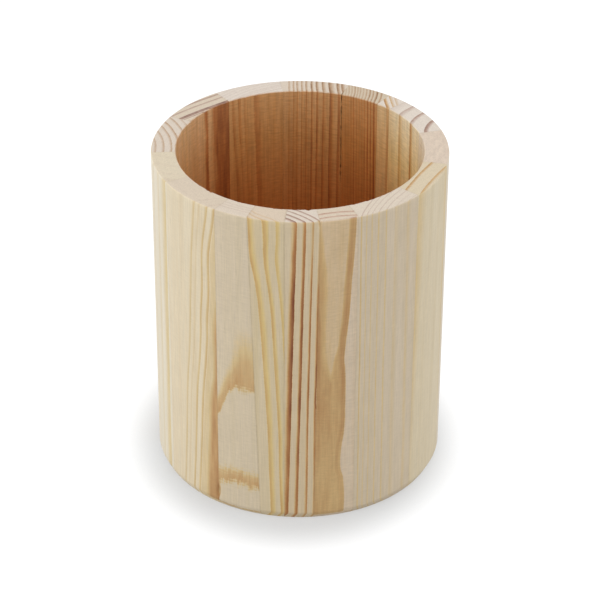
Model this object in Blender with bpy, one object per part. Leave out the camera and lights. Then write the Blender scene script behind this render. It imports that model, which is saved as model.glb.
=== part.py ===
"""Round wooden pencil pot: a ring of glued pine staves, turned inside and out, with a floor let
into its foot.

Metres, +Z up. The origin is at the middle of the foot, on the surface that the pot stands on.
Angles run counter-clockwise from +X, seen from above. The front of the pot faces -Y.
"""

import math

import bmesh
import bpy
from mathutils import Matrix, Vector

# The turned pot. The wall is cut square at the rim, and its edges are only eased with sandpaper.
outer_diameter = 0.085
pot_height = 0.100
wall_thickness = 0.007
rim_outer_ease = 0.0005
rim_inner_ease = 0.0002

# The bevel round the outer edge of the foot
foot_bevel_height = 0.002
foot_bevel_inset = 0.001

# The ring of staves, each glued to the next along a radial face
first_joint_angle = math.radians(15.1)
facets_per_stave = 8
glue_line = 0.0003

# The floor: a disc of edge-glued boards in a rebate, set in a little so that only the ring of
# staves meets the table
floor_thickness = 0.006
floor_recess = 0.0005
floor_edge_ease = 0.0003
floor_clearance = 0.0003
floor_joint_angle = math.radians(38)
floor_split_share = 0.42
rebate_depth = 0.0025

# Wood, as sRGB hex, and its surface
pine_colours = {
    "cream": "E2D3B0",
    "straw": "DCC89C",
    "pinkish": "D9C4A4",
    "tan": "CDB48A",
    "amber": "C39A63",
    "red_brown": "B58552",
}
wood_roughness = 0.62
wood_metallic = 0.0

# The staves, counter-clockwise from the first joint: the pine of each strip of it, and its width as
# a share of the mean stave's. A stave with two strips was sawn across the glue line of an edge-glued
# board, and its last pair is where that line lies at the foot and at the rim, as shares of its width.
stave_shares = (
    (("pinkish",), 1.0, None),
    (("cream", "tan"), 0.975, (0.31, 0.31)),
    (("red_brown",), 1.03, None),
    (("tan",), 1.01, None),
    (("amber",), 0.985, None),
    (("amber",), 1.11, None),
    (("cream",), 0.885, None),
    (("straw",), 1.0, None),
    (("pinkish", "straw"), 1.0, (0.66, 0.48)),
    (("red_brown", "tan"), 1.0, (0.42, 0.47)),
    (("pinkish",), 1.01, None),
    (("straw",), 0.98, None),
    (("cream",), 1.0, None),
)
strip_names = ("first_strip", "second_strip")
floor_boards = (
    ("floor_board_left", "cream"),
    ("floor_board_right", "tan"),
)

# Shading
smooth_up_to = math.radians(20)

# Worked out from the sizes above
outer_radius = outer_diameter / 2
bore_radius = outer_radius - wall_thickness
rebate_radius = bore_radius + rebate_depth
floor_radius = rebate_radius - floor_clearance
rebate_top = floor_recess + floor_thickness + floor_clearance
mean_stave_angle = math.tau / sum(width_share for woods, width_share, split in stave_shares)


def linear_channel(value):
    """One sRGB channel, 0 to 1, as linear light."""
    if value <= 0.04045:
        return value / 12.92
    return ((value + 0.055) / 1.055) ** 2.4


def pine(name, colour):
    """A bare sanded pine material in one of the pot's woods."""
    channels = bytes.fromhex(pine_colours[colour])
    linear = [linear_channel(channel / 255) for channel in channels]
    material = bpy.data.materials.new(name)
    material.use_nodes = True
    shader = material.node_tree.nodes["Principled BSDF"]
    shader.inputs["Base Color"].default_value = (*linear, 1)
    shader.inputs["Roughness"].default_value = wood_roughness
    shader.inputs["Metallic"].default_value = wood_metallic
    material.diffuse_color = (*linear, 1)
    return material


def wall_section():
    """The wall's section as radius and height: up the outside, over the rim and down the bore to
    the rebate for the floor."""
    return (
        (outer_radius - foot_bevel_inset, 0),
        (outer_radius, foot_bevel_height),
        (outer_radius, pot_height - rim_outer_ease),
        (outer_radius - rim_outer_ease, pot_height),
        (bore_radius + rim_inner_ease, pot_height),
        (bore_radius, pot_height - rim_inner_ease),
        (bore_radius, rebate_top),
        (rebate_radius, rebate_top),
        (rebate_radius, 0),
    )


def cut_back(bm, point, outward):
    """Planes a piece back to a glue face through a point, less half the glue line, and closes the
    cut."""
    everything = bm.verts[:] + bm.edges[:] + bm.faces[:]
    face_point = point - outward * glue_line / 2
    bmesh.ops.bisect_plane(
        bm, geom=everything, plane_co=face_point, plane_no=outward, clear_outer=True
    )
    open_edges = [edge for edge in bm.edges if edge.is_boundary]
    bmesh.ops.edgeloop_fill(bm, edges=open_edges)


def finished_mesh(bm, name):
    """Turns the working mesh into mesh data with its faces out and its turned faces smooth."""
    bmesh.ops.recalc_face_normals(bm, faces=bm.faces[:])
    mesh = bpy.data.meshes.new(name)
    bm.to_mesh(mesh)
    bm.free()
    mesh.shade_smooth()
    mesh.set_sharp_from_angle(angle=smooth_up_to)
    return mesh


def turned_stave(angle):
    """A working mesh of one whole stave of some angle, centred on +X: the section turned about the
    axis, and both joint faces planed back."""
    bm = bmesh.new()
    start = Matrix.Rotation(-angle / 2, 3, "Z")
    corners = [bm.verts.new(start @ Vector((radius, 0, z))) for radius, z in wall_section()]
    section = bm.faces.new(corners)
    bmesh.ops.spin(
        bm,
        geom=corners + section.edges[:] + [section],
        axis=(0, 0, 1),
        angle=angle,
        steps=facets_per_stave,
    )
    for side in (-1, 1):
        across = Matrix.Rotation(side * angle / 2, 3, "Z") @ Vector((0, side, 0))
        cut_back(bm, Vector(), across)
    return bm


def whole_stave_mesh(name, angle):
    """One stave in a single width of wood."""
    return finished_mesh(turned_stave(angle), name)


def strip_mesh(name, angle, side, split_shares):
    """The part of a stave on one side of its own glue line, which leans from its place at the foot
    to its place at the rim. Side is -1 for the first strip and 1 for the second."""
    bm = turned_stave(angle)
    width = 2 * outer_radius * math.sin(angle / 2)
    at_foot, at_rim = ((share - 0.5) * width for share in split_shares)
    across = Vector((0, pot_height, at_foot - at_rim)).normalized()
    cut_back(bm, Vector((0, at_foot, 0)), -side * across)
    return finished_mesh(bm, name)


def floor_board_mesh(name, side):
    """One board of the floor, centred on the pot's axis. The boards meet along X."""
    bm = bmesh.new()
    facets = len(stave_shares) * facets_per_stave
    bmesh.ops.create_circle(bm, cap_ends=True, segments=facets, radius=floor_radius)
    underside = bm.faces[:]
    raised = bmesh.ops.extrude_face_region(bm, geom=underside)
    top_corners = [item for item in raised["geom"] if isinstance(item, bmesh.types.BMVert)]
    bmesh.ops.translate(bm, verts=top_corners, vec=(0, 0, floor_thickness))
    bmesh.ops.recalc_face_normals(bm, faces=bm.faces[:])
    arrises = [edge for edge in bm.edges if edge.verts[0].co.z == edge.verts[1].co.z]
    bmesh.ops.bevel(bm, geom=arrises, offset=floor_edge_ease, segments=1, affect="EDGES")
    split = (2 * floor_split_share - 1) * floor_radius
    cut_back(bm, Vector((0, split, 0)), Vector((0, -side, 0)))
    return finished_mesh(bm, name)


def place(name, mesh, colour, pot, turn, height=0):
    """Adds a piece to the pot, turned about the axis, in its own pine."""
    piece = bpy.data.objects.new(name, mesh)
    bpy.context.collection.objects.link(piece)
    piece.parent = pot
    piece.location.z = height
    piece.rotation_euler.z = turn
    mesh.materials.append(pine(name, colour))


def add_staves(pot):
    """The ring of staves, each turned to its place."""
    joint_angle = first_joint_angle
    for number, (woods, width_share, split_shares) in enumerate(stave_shares):
        name = f"stave_{number + 1:02d}"
        angle = width_share * mean_stave_angle
        turn = joint_angle + angle / 2
        joint_angle += angle
        if split_shares is None:
            place(name, whole_stave_mesh(name, angle), woods[0], pot, turn)
            continue
        for side, strip, wood in zip((-1, 1), strip_names, woods):
            strip_name = f"{name}_{strip}"
            mesh = strip_mesh(strip_name, angle, side, split_shares)
            place(strip_name, mesh, wood, pot, turn)


def add_floor(pot):
    """The floor's boards, side by side in the rebate."""
    for side, (name, wood) in zip((-1, 1), floor_boards):
        mesh = floor_board_mesh(name, side)
        place(name, mesh, wood, pot, floor_joint_angle, height=floor_recess)


def main():
    for item in list(bpy.data.objects):
        bpy.data.objects.remove(item)
    pot = bpy.data.objects.new("pencil_pot", None)
    bpy.context.collection.objects.link(pot)
    add_staves(pot)
    add_floor(pot)


main()
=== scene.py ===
import math

import bmesh
import bpy
from mathutils import Matrix, Vector, noise


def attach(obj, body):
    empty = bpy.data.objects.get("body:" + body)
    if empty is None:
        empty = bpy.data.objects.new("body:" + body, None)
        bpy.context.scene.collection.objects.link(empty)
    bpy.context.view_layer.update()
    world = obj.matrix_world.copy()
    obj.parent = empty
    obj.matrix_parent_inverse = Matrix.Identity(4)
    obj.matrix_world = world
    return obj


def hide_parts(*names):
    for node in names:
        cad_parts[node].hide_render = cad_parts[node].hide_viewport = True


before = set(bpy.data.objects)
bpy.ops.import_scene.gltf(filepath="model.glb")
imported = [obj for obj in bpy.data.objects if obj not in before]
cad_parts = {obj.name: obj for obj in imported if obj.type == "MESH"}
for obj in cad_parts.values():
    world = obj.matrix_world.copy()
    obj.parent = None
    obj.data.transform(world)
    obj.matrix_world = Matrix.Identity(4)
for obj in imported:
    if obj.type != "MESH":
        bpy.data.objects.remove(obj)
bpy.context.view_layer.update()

# The camera
# It looks down at the pot over its front rim, from as far away as a short telephoto lens asks for.
# Its lens, distance and height are worked out from the two ellipses of the rim and the foot.
camera_lens_mm = 146.3
camera_sensor_mm = 36
camera_distance = 0.7219
camera_elevation = math.radians(31.86)
camera_roll = math.radians(0.296)
camera_aim = Vector((0.00019, 0, 0.04887))
camera_nearest = 0.05
camera_farthest = 20

camera_data = bpy.data.cameras.new("camera")
camera_data.sensor_width = camera_sensor_mm
camera_data.lens = camera_lens_mm
camera_data.clip_start = camera_nearest
camera_data.clip_end = camera_farthest
camera = bpy.data.objects.new("camera", camera_data)
bpy.context.collection.objects.link(camera)
towards_camera = Vector((0, -math.cos(camera_elevation), math.sin(camera_elevation)))
camera_turn = towards_camera.to_track_quat("Z", "Y").to_matrix()
camera.location = camera_aim + camera_distance * towards_camera
camera.rotation_euler = (camera_turn @ Matrix.Rotation(camera_roll, 3, "Z")).to_euler()
bpy.context.scene.camera = camera
bpy.context.scene.view_settings.view_transform = "Standard"


# The table
# A seamless sheet of matt paper, larger than anything that the camera sees. It throws back a third
# of the light, so the foot of the pot is lit little from below, and it is lifted to white for the
# eye alone, fully so only beyond the soft shadow round the foot. Nearer the foot the lift is
# smaller, in an oval narrowed at the sides and shifted to the left: a painted shadow over the
# paper's real one.
paper_half_width = 3
paper_colour = "989A9C"
# The smaller lift at the foot, and the oval over which it grows to the full lift, paint a soft
# shadow round the foot
paper_lift_at_foot = 0.415
paper_lift = 0.78
shadow_edge = 0.044
shadow_end = 0.063
shadow_narrowing = 1.15
shadow_shift = 0.0018
paper_roughness = 0.9


def add_node(tree, kind, inputs=(), **settings):
    """Adds a node with its settings. Each input is a number, a colour or another node's socket, and
    the inputs are named or numbered, or else in the order of the node's own."""
    node = tree.nodes.new(kind)
    for setting, value in settings.items():
        setattr(node, setting, value)
    named = inputs if isinstance(inputs, dict) else dict(enumerate(inputs))
    for socket, value in named.items():
        if isinstance(value, bpy.types.NodeSocket):
            tree.links.new(value, node.inputs[socket])
        else:
            node.inputs[socket].default_value = value
    return node


def linear_colour(hex_colour):
    """A colour written as sRGB hex, as the linear light that Blender works in. The numbers are the
    sRGB standard's own."""
    channels = [channel / 255 for channel in bytes.fromhex(hex_colour)]
    linear = [
        channel / 12.92 if channel <= 0.04045 else ((channel + 0.055) / 1.055) ** 2.4
        for channel in channels
    ]
    return (*linear, 1)


def seen_by_eye(tree):
    """1 for a ray that the eye follows, straight, by a reflection or through glass, and 0 for the
    rays that only carry light to the pot."""
    ray = add_node(tree, "ShaderNodeLightPath").outputs
    seen = ray["Is Camera Ray"]
    for way in ("Is Glossy Ray", "Is Transmission Ray"):
        seen = add_node(tree, "ShaderNodeMath", (seen, ray[way]), operation="MAXIMUM").outputs[0]
    return seen


def white_paper():
    """Matt paper: even, without grain, grey to the light and white to the eye, except round the
    pot's foot, where a smaller lift paints a soft shadow.
    """
    material = bpy.data.materials.new("white_paper")
    material.use_nodes = True
    tree = material.node_tree
    shader = tree.nodes["Principled BSDF"]
    shader.inputs["Base Color"].default_value = linear_colour(paper_colour)
    shader.inputs["Roughness"].default_value = paper_roughness
    place = add_node(tree, "ShaderNodeTexCoord")
    narrowed = add_node(
        tree,
        "ShaderNodeVectorMath",
        (place.outputs["Object"], (shadow_narrowing, 1, 1), (shadow_shift, 0, 0)),
        operation="MULTIPLY_ADD",
    )
    from_pot = add_node(tree, "ShaderNodeVectorMath", (narrowed.outputs[0],), operation="LENGTH")
    # A smaller lift near the foot paints a soft shadow round it, over the paper's real shadow
    rising = add_node(
        tree,
        "ShaderNodeMapRange",
        (from_pot.outputs[1], shadow_edge, shadow_end, paper_lift_at_foot, paper_lift),
        interpolation_type="SMOOTHSTEP",
    ).outputs[0]
    lift = add_node(tree, "ShaderNodeMath", (seen_by_eye(tree), rising), operation="MULTIPLY")
    glow = add_node(tree, "ShaderNodeEmission", {"Strength": lift.outputs[0]})
    both = add_node(tree, "ShaderNodeAddShader", (shader.outputs[0], glow.outputs[0]))
    tree.links.new(both.outputs[0], tree.nodes["Material Output"].inputs["Surface"])
    return material


paper_mesh = bpy.data.meshes.new("paper")
paper_corners = [
    (across * paper_half_width, along * paper_half_width, 0)
    for across, along in ((-1, -1), (1, -1), (1, 1), (-1, 1))
]
paper_mesh.from_pydata(paper_corners, [], [(0, 1, 2, 3)])
paper_mesh.materials.append(white_paper())
paper = bpy.data.objects.new("paper", paper_mesh)
bpy.context.collection.objects.link(paper)


# The light
# A white room, and two white soft boxes, both low: one at the left, and a weaker one at the right.
# The pot's front lies between them and gets the least.
room_strength = 0.88
room_seen_strength = 1
soft_boxes = (
    # name, azimuth and elevation in degrees, distance and width in metres, power in watts
    ("left_soft_box", 200, 18, 1.5, 0.9, 6.2),
    ("right_soft_box", 340, 18, 1.5, 0.9, 3.7),
)

world = bpy.data.worlds.new("white_room")
world.use_nodes = True
bpy.context.scene.world = world
room_tree = world.node_tree
room_level = add_node(
    room_tree,
    "ShaderNodeMix",
    {0: seen_by_eye(room_tree), 2: room_strength, 3: room_seen_strength},
)
room_tree.links.new(room_level.outputs[0], room_tree.nodes["Background"].inputs["Strength"])
room_tree.nodes["Background"].inputs["Color"].default_value = (1, 1, 1, 1)

for box_name, azimuth, elevation, distance, width, power in soft_boxes:
    box_data = bpy.data.lights.new(box_name, "AREA")
    box_data.size = width
    box_data.energy = power
    box = bpy.data.objects.new(box_name, box_data)
    bpy.context.collection.objects.link(box)
    level = math.cos(math.radians(elevation))
    from_pot = Vector((
        math.cos(math.radians(azimuth)) * level,
        math.sin(math.radians(azimuth)) * level,
        math.sin(math.radians(elevation)),
    ))
    box.location = from_pot * distance
    box.rotation_euler = from_pot.to_track_quat("Z", "Y").to_euler()


# The ring of staves
# Thirteen sawn pine staves, each glued to the next and turned together, outside and inside, to a
# plain cylinder that is cut square at the rim and sanded. Three of them were sawn from an
# edge-glued board, so a second glue line runs down inside them.
outer_radius = 0.0425
bore_radius = 0.0355
pot_height = 0.100
rim_outer_ease = 0.0005
rim_inner_ease = 0.0002
foot_bevel_height = 0.002
foot_bevel_inset = 0.001
rebate_radius = 0.038
rebate_top = 0.0068
glue_line = 0.00001
glue_stain_width = 0.00035

# The joints, in degrees counter-clockwise from the right, from the staves' shares of the mean width
first_joint = 15.1
stave_widths = (1.0, 0.975, 1.03, 1.01, 0.985, 1.11, 0.885, 1.0, 1.0, 1.0, 1.01, 0.98, 1.0)
mean_stave = 360 / sum(stave_widths)
joints = [first_joint]
for stave_share in stave_widths:
    joints.append(joints[-1] + stave_share * mean_stave)

# The mesh has finer rows at the foot, for the chip there, and in the upper bore, for the open joint
row_height = 0.002
foot_row_height = 0.0005
foot_rows_below = 0.008
bore_row_height = 0.0007
bore_rows_above = 0.072
station_width = 0.00055
# Its rows on the rim, as shares of the rounding's quarter turn and of the flat top
rim_round_shares = (0.0, 0.25, 0.5, 0.75, 1.0)
rim_top_shares = (0.2, 0.4, 0.6, 0.8)
smooth_up_to = math.radians(32)

# The cutter lifted the fibres here and there along the inner edge of the rim, deepest between
# either of two pairs of angles
tear_depth = 0.0004
deep_tear_depth = 0.0009
deep_tears = ((209, 233), (264, 278))
tear_length = 0.0011
tear_level = 0.18

# The joint between staves 2 and 3 has let go in the upper part of the bore, in dashes
open_joint = joints[2]
joint_match = 0.01
open_joint_foot = 0.070
open_joint_reach = 0.003
open_joint_width = 0.00035
open_joint_break = 0.0013
open_joint_level = 0.35

# Nicks: the angle, height, reach across, reach up and down, and depth of each small flaw in the
# outside. The one at the foot is a chip out of the joint.
foot_nick = (236.75, 0.0048, 0.0006, 0.0032, 0.0007)
rim_pit = (277.3, 0.0998, 0.0007, 0.0007, 0.0009)
nicks = (foot_nick, rim_pit)


def stave_section():
    """The section of the wall as radius and height, from the foot up the outside, over the rim and
    down the bore to the rebate that holds the floor."""
    points = [(outer_radius - foot_bevel_inset, 0), (outer_radius, foot_bevel_height)]
    outside_top = pot_height - rim_outer_ease
    height = foot_bevel_height
    while height < outside_top - row_height:
        height += foot_row_height if height < foot_rows_below else row_height
        points.append((outer_radius, height))
    for share in rim_round_shares:
        angle = share * math.pi / 2
        radius = outer_radius - rim_outer_ease * (1 - math.cos(angle))
        points.append((radius, outside_top + rim_outer_ease * math.sin(angle)))
    rim_outside = outer_radius - rim_outer_ease
    rim_inside = bore_radius + rim_inner_ease
    for share in rim_top_shares:
        points.append((rim_outside + share * (rim_inside - rim_outside), pot_height))
    points.append((rim_inside, pot_height))
    bore_top = pot_height - rim_inner_ease
    height = bore_top
    while height > rebate_top + row_height:
        points.append((bore_radius, height))
        height -= bore_row_height if height > bore_rows_above else row_height
    points.append((bore_radius, rebate_top))
    points.append((rebate_radius, rebate_top))
    points.append((rebate_radius, 0))
    return points


def worn(radius, angle, height):
    """Where a point of the sanded pot really lies: torn back at the rim's inner edge, and dented by
    the nicks."""
    if abs(radius - bore_radius) <= rim_inner_ease and height >= pot_height - rim_inner_ease:
        along = angle * bore_radius / tear_length
        torn = noise.noise(Vector((along, radius / tear_length, 0)))
        torn = max(0, torn - tear_level) / (1 - tear_level)
        degrees = math.degrees(angle) % 360
        deep = any(first < degrees < last for first, last in deep_tears)
        torn *= deep_tear_depth if deep else tear_depth
        if radius > bore_radius:
            return radius + torn, height
        return radius, height - torn
    for nick_angle, nick_height, reach_across, reach_up, depth in nicks:
        across = (angle - math.radians(nick_angle)) * outer_radius
        away = math.hypot(across / reach_across, (height - nick_height) / reach_up)
        if away < 1 and radius > outer_radius - rim_outer_ease - reach_across:
            radius -= depth * (1 - away)
    return radius, height


def joint_gap(joint_angle, radius, height):
    """Half the width of a joint at some place: the glue line, and more where the open joint has let
    go."""
    gap = glue_line / 2
    near_bore = 1 - (radius - bore_radius) / open_joint_reach
    above = (height - open_joint_foot) / (pot_height - open_joint_foot)
    if abs(joint_angle - open_joint) < joint_match and near_bore > 0 and above > 0:
        broken = noise.noise(Vector((0, 0, height / open_joint_break))) + open_joint_level
        gap += open_joint_width * near_bore * min(1, max(0, broken))
    return gap


def stave_object(name, middle, width, first_face, last_face):
    """A closed solid between two joint faces. Middle and width are the stave's own, in degrees. A
    face is a function that gives its distance across the stave at some height, or None for the face
    along the radius at the stave's own edge."""
    section = stave_section()
    half = math.radians(width) / 2
    turn = math.radians(middle)
    edges = []
    for side, face in ((-1, first_face), (1, last_face)):
        row = []
        for radius, height in section:
            if face is None:
                gap = joint_gap(middle + side * width / 2, radius, height)
                row.append(side * (half - gap / radius))
            else:
                row.append(math.asin((face(height) - side * glue_line / 2) / radius))
        edges.append(row)
    across = (edges[1][0] - edges[0][0]) * outer_radius
    stations = round(across / station_width)
    stain = glue_stain_width / across
    between = [stain + (1 - 2 * stain) * number / stations for number in range(1, stations)]
    shares = [0, stain, *between, 1 - stain, 1]
    points = []
    stained = []
    for share in shares:
        for number, (radius, height) in enumerate(section):
            angle = turn + edges[0][number] + share * (edges[1][number] - edges[0][number])
            radius, height = worn(radius, angle, height)
            points.append((radius * math.cos(angle), radius * math.sin(angle), height))
            stained.append(1.0 if share in (0, 1) else 0.0)
    count = len(section)
    faces = [tuple(range(count)), tuple(reversed(range(len(points) - count, len(points))))]
    for station in range(len(shares) - 1):
        for number in range(count):
            after = (number + 1) % count
            here = station * count
            there = here + count
            faces.append((here + number, there + number, there + after, here + after))
    mesh = bpy.data.meshes.new(name)
    mesh.from_pydata(points, [], faces)
    attribute = mesh.attributes.new("glue", "FLOAT", "POINT")
    attribute.data.foreach_set("value", stained)
    mesh.shade_smooth()
    mesh.set_sharp_from_angle(angle=smooth_up_to)
    stave = bpy.data.objects.new(name, mesh)
    bpy.context.collection.objects.link(stave)
    return stave


# Bare sanded pine
# Softwood, planed, glued and sanded to about 180 grit, without oil or varnish. Pale early wood and
# harder, darker late wood alternate in yearly rings. Along the stem these show as soft amber to
# red-brown lines, and on the cut end as mauve or brown arcs. The bore is tinted a deeper orange,
# partly its own tone and partly painted shade that deepens further down.

# Late wood along the stem, from its faintest tone to its darkest
golden_late_wood = ("DDC284", "C79A60", "8F552B")
red_late_wood = ("D9BC8B", "B8824C", "753810")
layer_late_wood = ("D2B17C", "BE9664", "A56F38")
tan_late_wood = ("DAC08E", "C79D6A", "97602D")
# The cut end, and the late wood in it, half dark and fully dark
end_pale = "E3D7CA"
end_beige = "DBCBB6"
mauve_end_lines = ("B99C8C", "866354")
brown_end_lines = ("C0A183", "8B6545")
amber_end_lines = ("CDA877", "AC7440")
pink_end_lines = ("C9A894", "A6765F")
# What the bore multiplies the wood by, at the rim, a little down and deep inside: its stave's own
# deeper tone, and painted shade that deepens downward. The pale tint stays white at the rim, partly
# as painted light on the directly lit right side of the bore.
pale_bore = ("FFFFFF", "FFF1CC", "FFD7A4")
straw_bore = ("F6E4D0", "F3D2AA", "F7CCA0")
tan_bore = ("F6DFD4", "EECAAD", "EAAF80")
warm_bore = ("EECFB6", "E8BE94", "EEAE78")
red_bore = ("E2BA98", "DFAB78", "E49F65")

glue_colour = "8A7350"
pine_ior = 1.5
pine_roughness = 0.6
late_roughness = 0.48
end_roughness = 0.85

# Sizes in the wood, in millimetres. A ring ends sharply, within its fall, and drifts no further
# than its reach.
millimetres = 1000
height_mm = pot_height * millimetres
outer_radius_mm = outer_radius * millimetres
bore_radius_mm = bore_radius * millimetres
skin_depth_mm = 0.6
bore_blend_mm = 0.3
# The depths at which the bore's tint, painted shade deepening downward, takes its three colours
bore_depths_mm = (0, 15, 40)
ring_fall_mm = 0.12
drift_reach_mm = 9

# The sizes of its patterns, in millimetres outward, across and along the fibres
sway_mm = (7, 7, 34)
rag_mm = (0.7, 0.7, 6)
# The cutter pulls the edge of each line to and fro in short steps
jag_mm = (3, 3, 0.5)
streak_mm = (1.5, 1.5, 70)
uneven_mm = (1.5, 1.5, 11)
# Real pine fibres are 0.03 mm wide: they are drawn as bundles
fibre_mm = (0.28, 0.28, 8)
# Resin canals are about 0.2 mm wide and several millimetres long
canal_mm = (0.3, 0.3, 3.6)
chatter_mm = (2.6, 2.6, 0.5)
bore_streak_mm = (0.8, 0.8, 14)
mottle_mm = (3.5, 3.5, 10.5)
# The cells of the end grain are too fine to show: the speckle is what sanding leaves on them
speckle_mm = (0.22, 0.22, 0.22)
blotch_mm = (0.8, 2.4, 2.4)
stain_mm = (0.8, 0.8, 2.4)

# Noise keeps mostly to the middle of its range, so a pattern uses only that part, or its peaks
middle_noise = (0.3, 0.7)
fine_noise = (0.25, 0.75)
streak_noise = (0.35, 0.7)
stain_noise = (0.3, 0.65)
canal_noise = (0.72, 0.8)

# What the late wood or the colour is multiplied by where a pattern is at its least and its most
uneven_strengths = (0.76, 1.1)
fibre_tones = (0.93, 1.06)
mottle_tones = (0.98, 1.02)
speckle_tones = (0.86, 1.08)

# What the bore's own streaks and chatter add to that
bore_streak_reach = (0.09, -0.09)
bore_chatter = 0.078

# The faintest glue stain, as a share of the darkest, and the most that late wood is multiplied by
faintest_glue_share = 0.3
strength_reach = 2

# Where the tones of late wood lie along the stem, from the faintest, and on the cut end, from none,
# and how squarely a cut has to meet the fibres to show end grain
late_stops = (0.3, 0.6, 1.0)
end_stops = (0.0, 0.55, 1.0)
end_facing = (0.55, 0.85)

# A ring's dark part begins at this share of its darkness, and a colour ramp holds so many rings
ring_start_share = 0.8
rings_in_a_ramp = 8

# The relief that sanding leaves, in metres, and the late wood's share in it
relief = 0.00004
relief_strength = 0.35
late_relief = 0.6


def set_stops(ramp, places, colours):
    """Gives a colour ramp its stops: their places, from 0 to 1, and their linear colours."""
    elements = ramp.color_ramp.elements
    while len(elements) < len(places):
        elements.new(0.5)
    for element, place, colour in zip(elements, places, colours):
        element.position = place
        element.color = colour


def ring_ramps(tree, distance, rings):
    """The share of late wood at a distance from the pith, from a few rings, each given as the
    distance of its dark edge, the width of its dark part, how softly it begins, and how dark it
    is."""
    nearest = min(edge - width - rise for edge, width, rise, dark in rings)
    farthest = max(edge for edge, width, rise, dark in rings) + 2 * ring_fall_mm
    share = add_node(tree, "ShaderNodeMapRange", (distance, nearest, farthest)).outputs[0]
    ramps = []
    ordered = sorted(rings)
    for first in range(0, len(ordered), rings_in_a_ramp):
        stops = []
        free_from = nearest
        for edge, width, rise, dark in ordered[first : first + rings_in_a_ramp]:
            begins = max(free_from, edge - width - rise)
            stops += [
                (begins, 0),
                (max(begins, edge - width), dark * ring_start_share),
                (edge, dark),
                (edge + ring_fall_mm, 0),
            ]
            free_from = edge + ring_fall_mm
        ramp = add_node(tree, "ShaderNodeValToRGB", (share,))
        places = [(stop - nearest) / (farthest - nearest) for stop, dark in stops]
        set_stops(ramp, places, [(dark, dark, dark, 1) for stop, dark in stops])
        ramps.append(ramp.outputs[0])
    densest, *others = ramps
    for other in others:
        densest = add_node(tree, "ShaderNodeMath", (densest, other), operation="MAXIMUM").outputs[0]
    return densest


def pattern(tree, place, size, detail=2, between=(0, 1), gives=None):
    """Noise from 0 to 1, of about the given size outward, across and along. Where it gives two
    values, the noise between two others is spread over them."""
    scale = tuple(1 / length for length in size)
    stretched = add_node(tree, "ShaderNodeVectorMath", (place, scale), operation="MULTIPLY")
    speckled = add_node(
        tree, "ShaderNodeTexNoise", {"Vector": stretched.outputs[0], "Scale": 1, "Detail": detail}
    ).outputs[0]
    if gives is None:
        return speckled
    return add_node(tree, "ShaderNodeMapRange", (speckled, *between, *gives)).outputs[0]


def over_height(tree, down, turns, farthest):
    """A value that changes over the height. Each turn is a share of the way down from the rim and
    the value there, and no value is more than the farthest from zero."""
    depth_share = add_node(tree, "ShaderNodeMath", (down, height_mm), operation="DIVIDE")
    curve = add_node(tree, "ShaderNodeFloatCurve", {"Value": depth_share.outputs[0]})
    points = curve.mapping.curves[0].points
    while len(points) < len(turns):
        points.new(0.5, 0.5)
    for point, (share, value) in zip(points, turns):
        point.location = (share, 0.5 + value / farthest / 2)
    curve.mapping.update()
    return add_node(
        tree, "ShaderNodeMapRange", (curve.outputs[0], 0, 1, -farthest, farthest)
    ).outputs[0]


def late_wood(tree, at, grain, pith, lean, rings, drift, bends):
    """The share of late wood from one set of rings about one pith, which leans, while the rings
    wander, drift over the height and bend as they do near a knot."""
    pith_place = add_node(
        tree, "ShaderNodeVectorMath", (at["down"], (*lean, 0), (*pith, 0)), operation="MULTIPLY_ADD"
    ).outputs[0]
    level_place = add_node(
        tree, "ShaderNodeVectorMath", (at["place"], (1, 1, 0)), operation="MULTIPLY"
    ).outputs[0]
    distance = add_node(
        tree, "ShaderNodeVectorMath", (level_place, pith_place), operation="DISTANCE"
    ).outputs[1]
    for size, detail, reach in (
        (sway_mm, 1, grain["sway"]),
        (rag_mm, 3, grain["rag"]),
        (jag_mm, 2, grain["jag"]),
    ):
        shift = pattern(tree, at["place"], size, detail, gives=(-reach, reach))
        distance = add_node(tree, "ShaderNodeMath", (distance, shift), operation="ADD").outputs[0]
    if drift:
        moved = over_height(tree, at["down"], drift, drift_reach_mm)
        distance = add_node(
            tree, "ShaderNodeMath", (distance, moved), operation="SUBTRACT"
        ).outputs[0]
    for across, depth, reach_across, reach_down, moved in bends:
        scale = Vector((0, 1 / reach_across, 1 / reach_down))
        centre = Vector((0, across, height_mm - depth))
        around = add_node(
            tree,
            "ShaderNodeVectorMath",
            (at["place"], scale, -centre * scale),
            operation="MULTIPLY_ADD",
        )
        away = add_node(tree, "ShaderNodeVectorMath", (around.outputs[0],), operation="LENGTH")
        shift = add_node(
            tree,
            "ShaderNodeMapRange",
            (away.outputs[1], 0, 1, -moved, 0),
            interpolation_type="SMOOTHSTEP",
        ).outputs[0]
        distance = add_node(tree, "ShaderNodeMath", (distance, shift), operation="ADD").outputs[0]
    return ring_ramps(tree, distance, rings)


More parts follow.
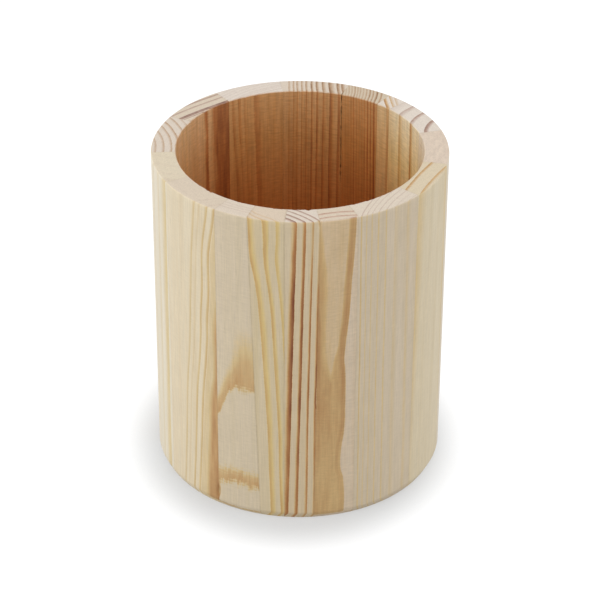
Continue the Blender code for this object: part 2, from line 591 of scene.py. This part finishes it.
def where(tree, turn, lies_flat):
    """Where a point is in its piece. Its place is in millimetres: outward from the pot's outside,
    across, and along the fibres. So is its way down from the rim. A board that lies flat has its
    fibres along the turned X, and outward then means down. The others are shares: in the bore, in
    the skin and on end grain."""
    turned = Matrix.Rotation(-math.radians(turn), 3, "Z")
    if lies_flat:
        turned = Matrix.Rotation(-math.pi / 2, 3, "Y") @ turned
    pot_place = add_node(tree, "ShaderNodeTexCoord")
    place = add_node(
        tree,
        "ShaderNodeMapping",
        {
            "Vector": pot_place.outputs["Object"],
            "Location": (0 if lies_flat else -outer_radius_mm, 0, 0),
            "Rotation": turned.to_euler(),
            "Scale": (millimetres, millimetres, millimetres),
        },
    ).outputs[0]
    along = add_node(tree, "ShaderNodeSeparateXYZ", (place,)).outputs[2]
    down = add_node(tree, "ShaderNodeMath", (height_mm, along), operation="SUBTRACT").outputs[0]

    level_place = add_node(
        tree,
        "ShaderNodeVectorMath",
        (pot_place.outputs["Object"], (millimetres, millimetres, 0)),
        operation="MULTIPLY",
    ).outputs[0]
    axis = add_node(tree, "ShaderNodeVectorMath", (level_place,), operation="LENGTH").outputs[1]
    bore_edges = (bore_radius_mm + bore_blend_mm / 2, bore_radius_mm + bore_blend_mm)
    bore_share = 0 if lies_flat else 1
    in_bore = add_node(tree, "ShaderNodeMapRange", (axis, *bore_edges, bore_share, 0)).outputs[0]
    skin_edges = (outer_radius_mm - skin_depth_mm, outer_radius_mm - skin_depth_mm / 2)
    in_skin = add_node(tree, "ShaderNodeMapRange", (axis, *skin_edges)).outputs[0]

    fibre_way = turned.transposed() @ Vector((0, 0, 1))
    facing = add_node(
        tree,
        "ShaderNodeVectorMath",
        (pot_place.outputs["Normal"], fibre_way),
        operation="DOT_PRODUCT",
    ).outputs[1]
    squarely = add_node(tree, "ShaderNodeMath", (facing,), operation="ABSOLUTE").outputs[0]
    on_end = add_node(tree, "ShaderNodeMapRange", (squarely, *end_facing)).outputs[0]
    return {"place": place, "down": down, "in_bore": in_bore, "in_skin": in_skin, "on_end": on_end}


def late_share(tree, at, grain):
    """The share of late wood in a piece: its own rings, and the layers that the turning has only
    just cut into, which lie in the skin of the outside."""
    ring_words = ("pith", "lean", "rings", "drift", "bends")
    late = late_wood(tree, at, grain, *(grain[word] for word in ring_words))
    for pith, rings, drift, bends in grain["skin_layers"]:
        layer = late_wood(tree, at, grain, pith, (0, 0), rings, drift, bends)
        shown = add_node(tree, "ShaderNodeMath", (layer, at["in_skin"]), operation="MULTIPLY")
        late = add_node(
            tree, "ShaderNodeMath", (late, shown.outputs[0]), operation="MAXIMUM"
        ).outputs[0]
    uneven = pattern(tree, at["place"], uneven_mm, 3, middle_noise, uneven_strengths)
    late = add_node(tree, "ShaderNodeMath", (late, uneven), operation="MULTIPLY").outputs[0]
    if grain["strength"]:
        strength = over_height(tree, at["down"], grain["strength"], strength_reach)
        late = add_node(tree, "ShaderNodeMath", (late, strength), operation="MULTIPLY").outputs[0]
    return late


def stem_colour(tree, at, grain):
    """Wood cut along the stem: early wood in two tones, and the late wood over it."""
    streak = pattern(tree, at["place"], streak_mm, 3, streak_noise, gives=(0, 1))
    early = add_node(
        tree,
        "ShaderNodeMix",
        {0: streak, 6: linear_colour(grain["early"]), 7: linear_colour(grain["early_deep"])},
        data_type="RGBA",
    ).outputs[2]
    late_tone = add_node(tree, "ShaderNodeValToRGB", (at["late"],))
    set_stops(late_tone, late_stops, [linear_colour(colour) for colour in grain["late"]])
    late_cover = add_node(tree, "ShaderNodeMapRange", (at["late"], 0, late_stops[0])).outputs[0]
    # The bore's deeper tint, partly painted shade, drowns part of the late wood
    late_shown = add_node(
        tree, "ShaderNodeMath", (at["in_bore"], grain["bore_late"] - 1, 1), operation="MULTIPLY_ADD"
    ).outputs[0]
    late_cover = add_node(
        tree, "ShaderNodeMath", (late_cover, late_shown), operation="MULTIPLY"
    ).outputs[0]
    return add_node(
        tree, "ShaderNodeMix", {0: late_cover, 6: early, 7: late_tone.outputs[0]}, data_type="RGBA"
    ).outputs[2]


def stem_light(tree, at, grain):
    """How much lighter or darker the stem is for its fibres and resin canals, the cutter's chatter,
    which is rougher on the bore, the bore's own streaks, and a slow mottling."""
    fibre_light = add_node(
        tree, "ShaderNodeMapRange", (at["fibre"], *fine_noise, *fibre_tones)
    ).outputs[0]
    canal_light = pattern(tree, at["place"], canal_mm, 0, canal_noise, (1, grain["canals"]))
    swing = add_node(tree, "ShaderNodeMapRange", (at["chatter"], *middle_noise, -1, 1)).outputs[0]
    reach = add_node(
        tree,
        "ShaderNodeMath",
        (at["in_bore"], bore_chatter, grain["chatter"]),
        operation="MULTIPLY_ADD",
    ).outputs[0]
    chatter_light = add_node(
        tree, "ShaderNodeMath", (swing, reach, 1), operation="MULTIPLY_ADD"
    ).outputs[0]
    bore_streak = pattern(tree, at["place"], bore_streak_mm, 3, middle_noise, bore_streak_reach)
    bore_streak_light = add_node(
        tree, "ShaderNodeMath", (bore_streak, at["in_bore"], 1), operation="MULTIPLY_ADD"
    ).outputs[0]
    mottle_light = pattern(tree, at["place"], mottle_mm, 2, middle_noise, mottle_tones)
    light = fibre_light
    for factor in (canal_light, chatter_light, bore_streak_light, mottle_light):
        light = add_node(tree, "ShaderNodeMath", (light, factor), operation="MULTIPLY").outputs[0]
    return light


def bore_tint_with_painted_shade(tree, at, grain):
    """The tint of the bore: its wood's own deeper tone, with painted shade that deepens the further
    down it is.
    """
    deepest = bore_depths_mm[-1]
    depth_share = add_node(tree, "ShaderNodeMapRange", (at["down"], 0, deepest)).outputs[0]
    tint = add_node(tree, "ShaderNodeValToRGB", (depth_share,))
    places = [depth / deepest for depth in bore_depths_mm]
    set_stops(tint, places, [linear_colour(colour) for colour in grain["bore"]])
    return tint.outputs[0]


def end_colour(tree, at, grain):
    """End grain: the rings as arcs, under the speckle and the blotches that sanding leaves."""
    late = add_node(
        tree, "ShaderNodeMath", (at["late"], grain["end_contrast"]), operation="MULTIPLY"
    ).outputs[0]
    tone = add_node(tree, "ShaderNodeValToRGB", (late,))
    tones = (grain["end"], *grain["end_late"])
    set_stops(tone, end_stops, [linear_colour(colour) for colour in tones])
    speckle_light = add_node(
        tree, "ShaderNodeMapRange", (at["speckle"], *fine_noise, *speckle_tones)
    ).outputs[0]
    blotch_tones = (1 - grain["blotch"], 1 + grain["blotch"])
    blotch_light = pattern(tree, at["place"], blotch_mm, 2, middle_noise, blotch_tones)
    light = add_node(
        tree, "ShaderNodeMath", (speckle_light, blotch_light), operation="MULTIPLY"
    ).outputs[0]
    return add_node(
        tree, "ShaderNodeVectorMath", {0: tone.outputs[0], "Scale": light}, operation="SCALE"
    ).outputs[0]


def glue_stain(tree, at, grain):
    """The share of the glue line's colour: a thin broken stain along the joint faces."""
    glue = add_node(tree, "ShaderNodeAttribute", attribute_name="glue").outputs["Fac"]
    stain_shares = (grain["glue"] * faintest_glue_share, grain["glue"])
    broken = pattern(tree, at["place"], stain_mm, 2, stain_noise, stain_shares)
    return add_node(tree, "ShaderNodeMath", (glue, broken), operation="MULTIPLY").outputs[0]


def pine(name, turn, grain, lies_flat=False):
    """The wood of one piece, with its own rings."""
    material = bpy.data.materials.new(name)
    material.use_nodes = True
    tree = material.node_tree
    shader = tree.nodes["Principled BSDF"]
    shader.inputs["IOR"].default_value = pine_ior
    at = where(tree, turn, lies_flat)
    at["late"] = late_share(tree, at, grain)
    at["fibre"] = pattern(tree, at["place"], fibre_mm)
    at["chatter"] = pattern(tree, at["place"], chatter_mm)
    at["speckle"] = pattern(tree, at["place"], speckle_mm)

    stem = add_node(
        tree,
        "ShaderNodeVectorMath",
        {0: stem_colour(tree, at, grain), "Scale": stem_light(tree, at, grain)},
        operation="SCALE",
    ).outputs[0]
    # The bore is multiplied by its tint, which paints shade that deepens down the bore
    stem = add_node(
        tree,
        "ShaderNodeMix",
        {0: at["in_bore"], 6: stem, 7: bore_tint_with_painted_shade(tree, at, grain)},
        data_type="RGBA",
        blend_type="MULTIPLY",
    ).outputs[2]
    wood = add_node(
        tree,
        "ShaderNodeMix",
        {0: at["on_end"], 6: stem, 7: end_colour(tree, at, grain)},
        data_type="RGBA",
    ).outputs[2]
    wood = add_node(
        tree,
        "ShaderNodeMix",
        {0: glue_stain(tree, at, grain), 6: wood, 7: linear_colour(glue_colour)},
        data_type="RGBA",
    ).outputs[2]
    tree.links.new(wood, shader.inputs["Base Color"])

    # Late wood is harder and takes a slight polish, and end grain stays dull
    polish = add_node(
        tree, "ShaderNodeMapRange", (at["late"], 0, 1, pine_roughness, late_roughness)
    ).outputs[0]
    dullness = add_node(tree, "ShaderNodeMix", {0: at["on_end"], 2: polish, 3: end_roughness})
    tree.links.new(dullness.outputs[0], shader.inputs["Roughness"])

    # Sanding wears the early wood a little lower than the late wood, and leaves end grain rough
    marks = add_node(tree, "ShaderNodeMath", (at["fibre"], at["chatter"]), operation="ADD")
    stem_height = add_node(
        tree,
        "ShaderNodeMath",
        (at["late"], late_relief, marks.outputs[0]),
        operation="MULTIPLY_ADD",
    ).outputs[0]
    height = add_node(
        tree, "ShaderNodeMix", {0: at["on_end"], 2: stem_height, 3: at["speckle"]}
    ).outputs[0]
    bump = add_node(
        tree, "ShaderNodeBump", {"Height": height, "Strength": relief_strength, "Distance": relief}
    )
    tree.links.new(bump.outputs[0], shader.inputs["Normal"])
    return material


# The grain of a plain piece. A piece's own section gives what is different in it.
plain_grain = {
    # The pith, where it meets the level of the rim, as millimetres outward from the pot's outside
    # and across, and how far it leans with each millimetre down
    "pith": (0, 0),
    "lean": (0, 0),
    # The rings, each as the distance of its dark edge from the pith, the width of its dark part,
    # how softly that begins, and how dark it is
    "rings": (),
    # How far each line sways, frays and is jagged, in millimetres
    "sway": 0.2,
    "rag": 0.08,
    "jag": 0.06,
    # How far outward the rings stand, at shares of the way down
    "drift": (),
    # Bends, as a knot leaves them: place across, depth, reach across, reach down, and the shift
    "bends": (),
    # Layers in the skin of the outside, each as its pith, rings, drift and bends
    "skin_layers": (),
    # The strength of the late wood, at shares of the way down
    "strength": (),
    # The colours along the stem, how far the cutter's chatter changes them, and how dark the resin
    # canals are
    "late": golden_late_wood,
    "early": "E2D3B0",
    "early_deep": "DAC79F",
    "chatter": 0.022,
    "canals": 0.95,
    # The colours of the cut end, how strongly its late wood shows, and how blotched it is
    "end": end_pale,
    "end_late": mauve_end_lines,
    "end_contrast": 1.0,
    "blotch": 0.02,
    # The tint of the bore, partly painted shade deepening downward, and how much of the late wood
    # shows through it
    "bore": warm_bore,
    "bore_late": 0.55,
    # How dark the glue stain is
    "glue": 0.1,
}


def leaning_face(stave, foot_share, rim_share):
    """The face of a glue line inside a stave, from its shares of the stave's width at the foot and
    at the rim."""
    width = 2 * outer_radius * math.sin(math.radians(joints[stave] - joints[stave - 1]) / 2)

    def face(height):
        share = foot_share + (rim_share - foot_share) * height / pot_height
        return (share - 0.5) * width

    return face


def add_piece(name, stave, first_face=None, last_face=None, **own_grain):
    """Puts one piece of the ring in its place, in its own wood, for the plain solid of its name."""
    middle = (joints[stave - 1] + joints[stave]) / 2
    width = joints[stave] - joints[stave - 1]
    grain = {**plain_grain, **own_grain}
    piece = stave_object(name + "_pine", middle, width, first_face, last_face)
    piece.data.materials.append(pine(name + "_bare_sanded_pine", middle, grain))
    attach(piece, "root")
    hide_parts(name)


# Stave 1
# At the right, a little behind. Its pith lay just outside the pot, so the rings cut its rim in wide
# steep arcs, one of them thick and mauve.
add_piece(
    "stave_01",
    1,
    pith=(4.5, -15.2),
    lean=(0, -0.018),
    rings=(
        (12.7, 0.6, 0.9, 0.85),
        (17.75, 0.45, 0.9, 0.66),
        (22.65, 0.4, 1.4, 0.5),
        (27.0, 0.3, 2.8, 0.24),
    ),
    late=red_late_wood,
    early="EADBB9",
    early_deep="E6D5AE",
    bore=pale_bore,
    bore_late=1.0,
)

# Stave 2
# Behind, at the right. Sawn across the glue line of an edge-glued board: a plain strip at the right
# and one with tight dark rings at the left.
stave_02_split = leaning_face(2, 0.31, 0.31)
add_piece(
    "stave_02_first_strip",
    2,
    pith=(49.4, -66.7),
    lean=(0, -0.01),
    rings=((82.4, 0.4, 0.8, 0.75), (80.5, 0.25, 0.8, 0.45), (79.1, 0.2, 0.7, 0.3)),
    end_late=amber_end_lines,
    end_contrast=1.25,
    bore=straw_bore,
    last_face=stave_02_split,
)
add_piece(
    "stave_02_second_strip",
    2,
    pith=(-18.1, 30.6),
    lean=(0, -0.015),
    rings=(
        (36.4, 0.3, 0.3, 0.7),
        (35.1, 0.35, 0.4, 0.9),
        (33.9, 0.2, 0.4, 0.7),
        (32.9, 0.3, 0.3, 0.75),
        (31.85, 0.2, 0.3, 0.6),
        (30.9, 0.15, 0.3, 0.5),
        (30.0, 0.15, 0.3, 0.5),
        (29.2, 0.15, 0.3, 0.55),
        (28.4, 0.2, 0.3, 0.65),
        (27.5, 0.15, 0.3, 0.5),
        (26.6, 0.15, 0.3, 0.5),
        (25.7, 0.15, 0.3, 0.45),
        (24.8, 0.15, 0.3, 0.4),
    ),
    late=red_late_wood,
    end_late=brown_end_lines,
    early="DCC9A2",
    early_deep="D2BB8E",
    end="D3C3AB",
    end_contrast=1.1,
    bore=red_bore,
    bore_late=0.8,
    sway=0.15,
    first_face=stave_02_split,
)

# Stave 3
# Behind, to the right of the middle. Quarter-sawn, so its eleven fine rings run straight through
# the wall and show as upright lines.
add_piece(
    "stave_03",
    3,
    pith=(3.9, -60.9),
    lean=(0, 0.004),
    sway=0.15,
    chatter=0.03,
    rings=(
        (53.1, 0.4, 0.8, 0.8),
        (54.5, 0.4, 0.8, 0.85),
        (56.9, 0.4, 1.4, 0.95),
        (58.9, 0.3, 0.9, 0.8),
        (60.7, 0.3, 0.6, 0.85),
        (62.2, 0.3, 0.5, 0.85),
        (63.8, 0.25, 0.5, 0.7),
        (65.1, 0.2, 0.5, 0.65),
        (66.5, 0.2, 0.5, 0.65),
        (67.6, 0.2, 0.4, 0.6),
        (68.9, 0.2, 0.4, 0.55),
    ),
    late=red_late_wood,
    end_late=brown_end_lines,
    early="DCC7A0",
    early_deep="D0B689",
    end="DDCEBC",
    end_contrast=1.1,
    bore_late=0.65,
)

# Stave 4
# Behind, to the left of the middle. Flat-sawn and warm: its wandering lines show in the bore and
# hardly at all on the rim.
add_piece(
    "stave_04",
    4,
    pith=(-35, -8),
    lean=(0, -0.03),
    rag=0.12,
    rings=(
        (29.15, 0.25, 0.5, 0.75),
        (30.1, 0.15, 0.4, 0.55),
        (30.7, 0.15, 0.4, 0.6),
        (31.3, 0.2, 0.5, 0.65),
        (32.7, 0.2, 0.8, 0.5),
        (34.1, 0.2, 0.9, 0.5),
        (35.3, 0.2, 0.8, 0.5),
        (36.5, 0.2, 0.8, 0.5),
    ),
    late=red_late_wood,
    early="DDC59A",
    early_deep="D2B583",
    end_contrast=0.25,
)

# Stave 5
# Behind, at the left. Flat-sawn far from the pith, so its late-wood layers run nearly along the
# wall, and one of them is thick.
add_piece(
    "stave_05",
    5,
    pith=(-156.5, 26.1),
    lean=(0, -0.01),
    rings=(
        (158.3, 0.4, 0.5, 0.7),
        (156.0, 0.3, 0.5, 0.6),
        (153.25, 1.0, 0.4, 0.95),
        (151.7, 0.12, 0.3, 0.8),
        (150.0, 0.2, 0.5, 0.3),
    ),
    late=red_late_wood,
    early="DDC59C",
    early_deep="D3B788",
    end=end_beige,
    bore=tan_bore,
    bore_late=0.9,
)

# Stave 6
# At the left, and the widest stave. Its pith lay well outside the pot, so its brown rings cut the
# rim in steep arcs.
add_piece(
    "stave_06",
    6,
    pith=(22.4, 13.9),
    rings=(
        (36.7, 0.2, 0.6, 0.4),
        (34.5, 0.2, 0.6, 0.6),
        (32.0, 0.25, 0.6, 0.65),
        (29.9, 0.2, 0.6, 0.6),
        (27.7, 0.2, 0.6, 0.55),
        (25.4, 0.2, 0.6, 0.5),
        (23.7, 0.2, 0.6, 0.3),
    ),
    end_late=brown_end_lines,
    early="DFCAA2",
    early_deep="D5BC8D",
    end="DED0C0",
    bore=tan_bore,
)

# Stave 7
# At the left edge of the view, and the narrowest. Plain and cream-yellow, with one broad soft
# yellow band.
add_piece(
    "stave_07",
    7,
    pith=(-30, -40),
    lean=(0, -0.008),
    sway=0.3,
    rings=(
        (56.5, 1.1, 1.2, 0.24),
        (52.5, 0.3, 1.0, 0.1),
        (48.0, 0.3, 1.0, 0.1),
        (43.5, 0.3, 1.0, 0.1),
    ),
    early="EDE2CC",
    early_deep="E8DBC1",
    end="DFD1B8",
    end_contrast=0.6,
)

# Stave 8
# Cream, with four leaning amber lines that meet the joint at its right, and a golden brown layer
# that widens towards the foot.

# A layer whose pith is far to the left has an upright edge, and stands out from it by some
# millimetres at each share of the way down
far_left = (0, -60)
widening_layer = (
    (0, 5.2),
    (0.25, 5),
    (0.3, 3.7),
    (0.38, 2.6),
    (0.55, 2.4),
    (0.6, 1.5),
    (0.65, 0.95),
    (0.75, 0.6),
    (0.85, 0),
    (1, -0.8),
)
add_piece(
    "stave_08",
    8,
    pith=(-35, -50),
    lean=(0, -0.067),
    drift=((0, 0), (0.15, -0.3), (0.3, -0.1), (0.48, 0.15), (0.62, -0.15), (0.8, 0.1), (1, 0.1)),
    bends=((7.5, 15, 5, 13, -0.5), (6, 36, 3, 8, -0.25)),
    skin_layers=((far_left, ((78, 10, 2.6, 0.88),), widening_layer, ()),),
    sway=0.1,
    rings=(
        (63.65, 0.3, 0.5, 0.3),
        (65.1, 0.2, 0.4, 0.15),
        (67.2, 0.35, 0.4, 0.4),
        (69.1, 0.35, 0.4, 0.44),
        (80, 10.6, 0.2, 0.26),
    ),
    late=tan_late_wood,
    early="EADBBE",
    early_deep="E5D2B0",
    end=end_beige,
    end_contrast=0.35,
)

# Stave 9
# Sawn across a leaning glue line. In the first strip the rings lie nearly level with the face, so
# one comes out as a ragged tan arch and the next as a band near the foot. The second strip has
# leaning lines.
stave_09_split = leaning_face(9, 0.66, 0.48)
add_piece(
    "stave_09_first_strip",
    9,
    pith=(-42.5, 0.3),
    lean=(-0.053, 0),
    bends=((-10, 46, 8, 18, 1.3), (-12, 60, 6, 17, 1.35)),
    sway=0.06,
    rag=0.16,
    jag=0.12,
    chatter=0.035,
    rings=(
        (45.43, 0.45, 0.55, 0.57),
        (47.22, 0.13, 0.13, 0.62),
        (40.0, 0.1, 0.3, 0.42),
        (38.9, 0.1, 0.3, 0.35),
        (37.7, 0.1, 0.3, 0.42),
    ),
    late=tan_late_wood,
    early="DDCCB1",
    early_deep="D9C8A9",
    end="DECFBD",
    end_contrast=0.5,
    glue=0.3,
    last_face=stave_09_split,
)
add_piece(
    "stave_09_second_strip",
    9,
    pith=(-56, 27),
    lean=(0, 0.056),
    bends=((1, 0, 5, 22, 0.65), (4, 0, 12, 30, 0.42)),
    drift=(
        (0, 0),
        (0.05, 0.1),
        (0.13, 0.42),
        (0.2, 0.32),
        (0.27, 0.15),
        (0.48, -0.07),
        (0.68, -0.16),
        (0.85, 0),
        (1, 0),
    ),
    sway=0.12,
    chatter=0.02,
    rings=((61.3, 0.25, 0.75, 0.56), (59.65, 0.2, 0.5, 0.56), (58.15, 0.2, 0.4, 0.42)),
    early="DBC9A9",
    early_deep="D7C49E",
    end="DCCAB4",
    end_late=amber_end_lines,
    end_contrast=0.7,
    glue=0.3,
    first_face=stave_09_split,
)

# Stave 10
# At the front, also of two strips. The first has four strong dark lines and, half-way down, a short
# dark core beside its glue line. The second shows a broad brown zone of late wood that ends at a
# wavy golden line.
stave_10_split = leaning_face(10, 0.42, 0.47)
far_right = (0, 60)
dark_core = ((0, 4), (0.44, 4), (0.46, 0.2), (0.52, 0), (0.61, 0), (0.63, 4), (1, 4))
wavy_line = (
    (0, 0),
    (0.1, -0.4),
    (0.2, -1.1),
    (0.3, -1.6),
    (0.4, -2.55),
    (0.45, -2.95),
    (0.49, -2.6),
    (0.62, -2.5),
    (0.7, -2.7),
    (0.75, -3.35),
    (0.82, -3.6),
    (0.86, -2.8),
    (0.93, -2.35),
    (1, -2.6),
)
brown_edge = ((0, 1.5), (0.1, 0.7), (0.25, 0.2), (1, 0))
brown_zone = (
    (0, 2.2),
    (0.08, 1.4),
    (0.2, 0.2),
    (0.3, 0.4),
    (0.4, 0.5),
    (0.48, -0.4),
    (0.55, -3.2),
    (0.6, -4.4),
    (0.68, -4.6),
    (0.76, -3.6),
    (0.83, -3.6),
    (0.88, -4.6),
    (1, -4.4),
)
add_piece(
    "stave_10_first_strip",
    10,
    pith=(13, -24.2),
    lean=(0, -0.019),
    bends=((-1.5, 100, 6, 45, 0.6),),
    sway=0.1,
    rings=(
        (21.95, 0.4, 0.7, 0.95),
        (23.75, 0.35, 0.45, 0.9),
        (25.5, 0.25, 0.35, 0.75),
        (27.25, 0.3, 0.4, 0.72),
    ),
    skin_layers=((far_left, ((58.8, 0.3, 0.4, 0.88),), dark_core, ()),),
    strength=((0, 0.72), (0.08, 0.8), (0.25, 1.08), (0.6, 1.1), (0.8, 1), (1, 0.85)),
    late=red_late_wood,
    early="DBC8A8",
    early_deep="D6C09C",
    end="DFD2C3",
    end_contrast=1.35,
    glue=0.2,
    last_face=stave_10_split,
)
add_piece(
    "stave_10_second_strip",
    10,
    pith=(27.2, 6.6),
    skin_layers=(
        (far_left, ((68.9, 0.9, 0.9, 0.66),), wavy_line, ()),
        (far_left, ((69.6, 1.3, 0.5, 0.4),), wavy_line, ()),
        (far_left, ((69.3, 12, 0.1, 0.17),), wavy_line, ()),
        (far_left, ((69.5, 1.5, 1, 0.6),), wavy_line, ((2.5, 54, 5, 16, -2.5),)),
        (far_right, ((68, 8.4, 2.6, 0.62),), brown_zone, ()),
        (far_right, ((66, 5.6, 1.4, 0.8),), brown_edge, ()),
    ),
    strength=((0, 1), (0.72, 1), (0.84, 0.8), (1, 0.88)),
    sway=0.1,
    rag=0.12,
    jag=0.1,
    chatter=0.05,
    rings=((29.85, 0.3, 0.5, 0.6), (32.0, 0.3, 0.6, 0.6)),
    late=layer_late_wood,
    end_late=pink_end_lines,
    early="DCC9B0",
    early_deep="D8C2A4",
    end=end_beige,
    end_contrast=1.3,
    glue=0.2,
    first_face=stave_10_split,
)

# Stave 11
# To the right of the front. Greyish beige, with rings that cut its face at a slant and come out as
# fine, faint upright lines.
add_piece(
    "stave_11",
    11,
    pith=(35.6, 21.7),
    lean=(0, 0.005),
    sway=0.1,
    rings=(
        (48.2, 0.15, 0.25, 0.44),
        (46.95, 0.12, 0.2, 0.3),
        (45.7, 0.12, 0.2, 0.3),
        (44.25, 0.12, 0.2, 0.36),
        (42.7, 0.12, 0.2, 0.34),
        (41.0, 0.15, 0.5, 0.16),
        (39.25, 0.1, 0.15, 0.2),
        (37.6, 0.1, 0.3, 0.2),
    ),
    late=tan_late_wood,
    early="D8C7AE",
    early_deep="D3C1A4",
    end="DFD1BF",
    end_contrast=0.85,
)

# Stave 12
# Warm cream and nearly plain, flat-sawn. Its two late-wood layers show on the rim, and the outer
# one comes out faintly beside the joints.
add_piece(
    "stave_12",
    12,
    pith=(108, 0),
    lean=(-0.008, 0),
    sway=0.12,
    rings=((109.45, 0.35, 0.6, 0.29), (113.95, 0.35, 0.6, 0.36)),
    late=tan_late_wood,
    end_late=amber_end_lines,
    early="E1D2B5",
    early_deep="DCCBA9",
    end="DCCCB0",
    end_contrast=2.2,
)

# Stave 13
# At the right edge of the view. Pale, pinkish and plain, with rings too faint to tell apart and the
# most blotched end grain.
add_piece(
    "stave_13",
    13,
    pith=(-60, 30),
    lean=(0, 0.01),
    rings=(
        (62.0, 0.3, 1.2, 0.12),
        (65.0, 0.3, 1.2, 0.12),
        (68.0, 0.3, 1.2, 0.12),
        (58.0, 0.3, 1.2, 0.12),
    ),
    early="E4D8C3",
    early_deep="DFD0B7",
    end="DECCB9",
    end_contrast=0.5,
    blotch=0.06,
    bore=pale_bore,
)


# The floor
# Two pine boards glued edge to edge, cut to a disc and glued into the rebate. Their fibres lie
# along the joint between them, and broad flat-sawn rings show on their face.
floor_turn = 38
floor_radius = 0.0377
floor_bottom = 0.0005
floor_top = 0.0065
floor_edge_ease = 0.0003
floor_split = -0.00603
floor_facets = 96
floor_left_rings = (
    (10.5, 0.5, 2.0, 0.45),
    (16.0, 0.4, 1.8, 0.5),
    (21.0, 0.4, 1.6, 0.45),
    (26.0, 0.4, 1.6, 0.4),
)
floor_right_rings = (
    (33.0, 0.4, 1.4, 0.5),
    (38.0, 0.4, 1.6, 0.45),
    (43.5, 0.4, 1.8, 0.5),
    (49.0, 0.4, 1.8, 0.4),
)


def board_outline(side, inset):
    """The outline of one floor board, as places along the joint and away from it: the joint, and
    the arc beyond it. Side is -1 for the left board and 1 for the right one."""
    radius = floor_radius - inset
    joint = floor_split * side + glue_line / 2
    first = math.asin(joint / radius)
    arc = math.pi - 2 * first
    angles = [first + arc * number / floor_facets for number in range(floor_facets + 1)]
    return [(radius * math.cos(angle), side * radius * math.sin(angle)) for angle in angles]


def board_object(name, side):
    """One floor board as a closed solid, its arc eased at the top and bottom."""
    levels = (
        (floor_edge_ease, floor_bottom),
        (0, floor_bottom + floor_edge_ease),
        (0, floor_top - floor_edge_ease),
        (floor_edge_ease, floor_top),
    )
    turn = Matrix.Rotation(math.radians(floor_turn), 3, "Z")
    points = []
    for inset, height in levels:
        outline = board_outline(side, inset)
        points += [turn @ Vector((along, away, height)) for along, away in outline]
    count = floor_facets + 1
    faces = [tuple(range(count)), tuple(range(len(points) - count, len(points)))]
    for level in range(len(levels) - 1):
        for number in range(count):
            after = (number + 1) % count
            here = level * count
            faces.append((here + number, here + after, here + count + after, here + count + number))
    mesh = bpy.data.meshes.new(name)
    mesh.from_pydata(points, [], faces)
    working = bmesh.new()
    working.from_mesh(mesh)
    bmesh.ops.recalc_face_normals(working, faces=working.faces[:])
    working.to_mesh(mesh)
    working.free()
    mesh.shade_smooth()
    mesh.set_sharp_from_angle(angle=smooth_up_to)
    board = bpy.data.objects.new(name, mesh)
    bpy.context.collection.objects.link(board)
    return board


for board_name, side, pith_place, board_rings in (
    ("floor_board_left", -1, (9, -3), floor_left_rings),
    ("floor_board_right", 1, (16, -32), floor_right_rings),
):
    board = board_object(board_name + "_pine", side)
    board_grain = {
        **plain_grain,
        "pith": pith_place,
        "rings": board_rings,
        "sway": 0.5,
        "early": "E0CFAA",
        "early_deep": "D8C295",
    }
    board_pine = pine(board_name + "_bare_sanded_pine", floor_turn, board_grain, lies_flat=True)
    board.data.materials.append(board_pine)
    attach(board, "root")
    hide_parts(board_name)
